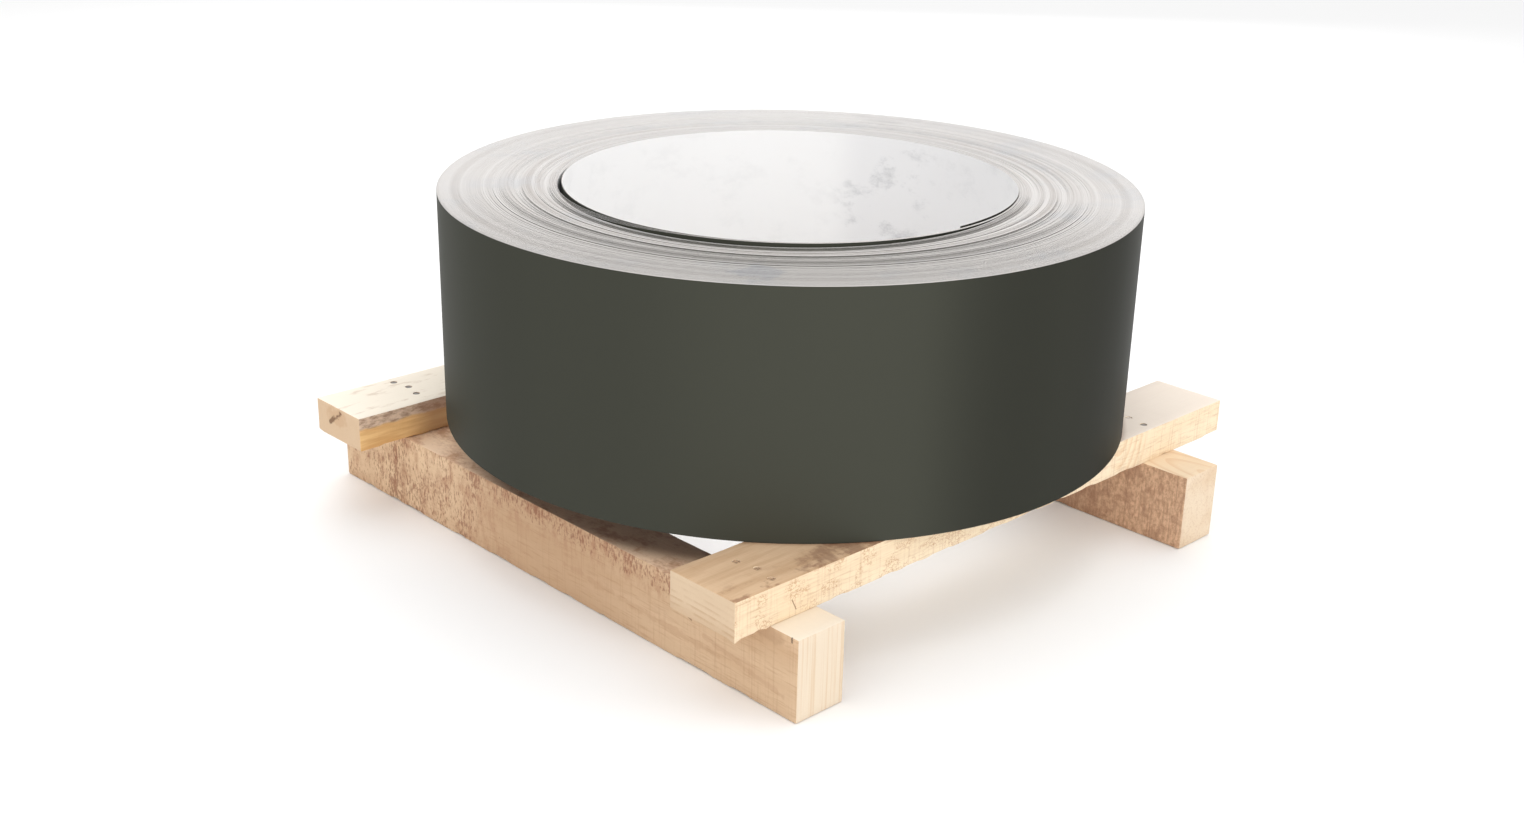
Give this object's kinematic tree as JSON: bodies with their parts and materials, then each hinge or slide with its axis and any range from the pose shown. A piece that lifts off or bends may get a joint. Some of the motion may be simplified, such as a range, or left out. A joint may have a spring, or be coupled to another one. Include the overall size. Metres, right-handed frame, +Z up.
{
  "type": "steel coil on a timber skid",
  "caption": "Narrow coil of painted steel strip standing on end, bore upright, on a nailed skid of timber bearers and boards, for storing, lifting and feeding sheet stock.",
  "frame": {"origin": "on the floor, under the middle of the skid's bounding box", "axes": "+X along the boards to the right, +Y along the bearers to the back, +Z up along the coil's bore"},
  "size_m": [0.806, 0.802, 0.392],
  "materials": {
    "painted_strip": "satin",
    "bearer_timber": "sawn",
    "board_timber": "sawn",
    "nail_steel": "dull"
  },
  "bodies": {
    "root": {"coil": "painted_strip", "bearer_left": "bearer_timber", "bearer_right": "bearer_timber", "board_front": "board_timber", "board_back": "board_timber", "nail_front_left_1": "nail_steel", "nail_front_left_2": "nail_steel", "nail_front_left_3": "nail_steel", "nail_front_right_1": "nail_steel", "nail_front_right_2": "nail_steel", "nail_front_right_3": "nail_steel", "nail_back_left_1": "nail_steel", "nail_back_left_2": "nail_steel", "nail_back_left_3": "nail_steel", "nail_back_right_1": "nail_steel", "nail_back_right_2": "nail_steel", "nail_back_right_3": "nail_steel"}
  },
  "joints": []
}
